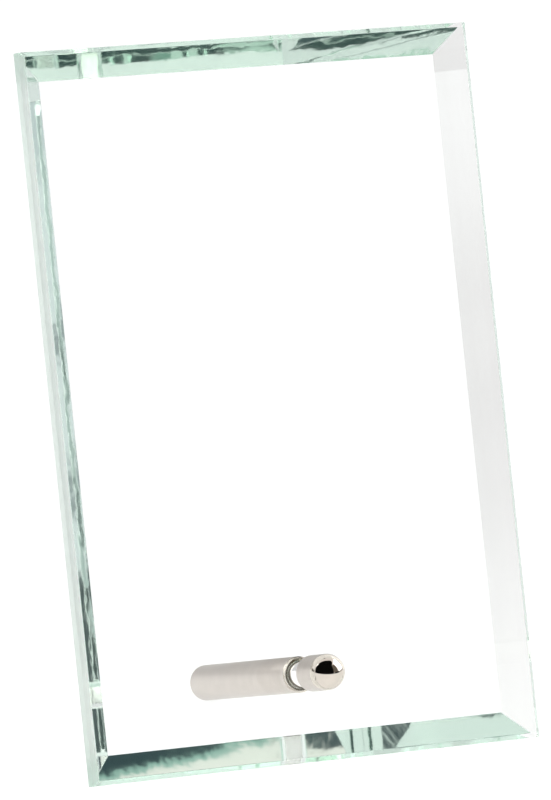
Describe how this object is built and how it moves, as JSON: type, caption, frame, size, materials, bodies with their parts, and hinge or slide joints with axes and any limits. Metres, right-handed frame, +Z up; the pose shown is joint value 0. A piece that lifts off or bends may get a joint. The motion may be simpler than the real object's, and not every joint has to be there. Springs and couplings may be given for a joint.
{
  "type": "glass photo plaque",
  "caption": "Clear glass plaque for a photograph, bevelled round the back, that leans back on a round metal pin screwed through its lower part.",
  "frame": {"origin": "On the ground, under the middle of the whole object's box. The glass's bottom back edge and the rod's lower back rim rest on the ground.", "axes": "+Z up, -Y the way the glass's front faces, +X to the right of a person who looks at the back, so to the viewer's right from the front as well."},
  "size_m": [0.107, 0.0736, 0.1546],
  "materials": {
    "clear_glass": "polished clear float glass, green at the edges",
    "sleeve_plastic": "pale translucent",
    "washer_plastic": "clear soft plastic",
    "stud_steel": "plain threaded steel",
    "satin_nickel": "satin nickel, polished on the cap's round end"
  },
  "bodies": {
    "plaque": {"glass_panel": "clear_glass", "hole_sleeve": "sleeve_plastic", "front_washer": "washer_plastic", "threaded_stud": "stud_steel", "dome_cap": "satin_nickel"},
    "washer": {"rear_washer": "washer_plastic"},
    "rod": {"stand_rod": "satin_nickel"}
  },
  "joints": [
    {"name": "rod_back_off", "type": "slide", "parent": "plaque", "child": "washer", "axis": [0, 0.9681, -0.2506], "range_m": [0, 0.0063]},
    {"name": "rod_unscrew", "type": "hinge", "parent": "washer", "child": "rod", "pos_m": [0, -0.01538, 0.01703], "axis": [0, 0.9681, -0.2506], "range_deg": [0, 3241]}
  ],
  "couplings": [
    {"joint": "rod_unscrew", "follows": "rod_back_off", "rad_per_m": 8976}
  ]
}
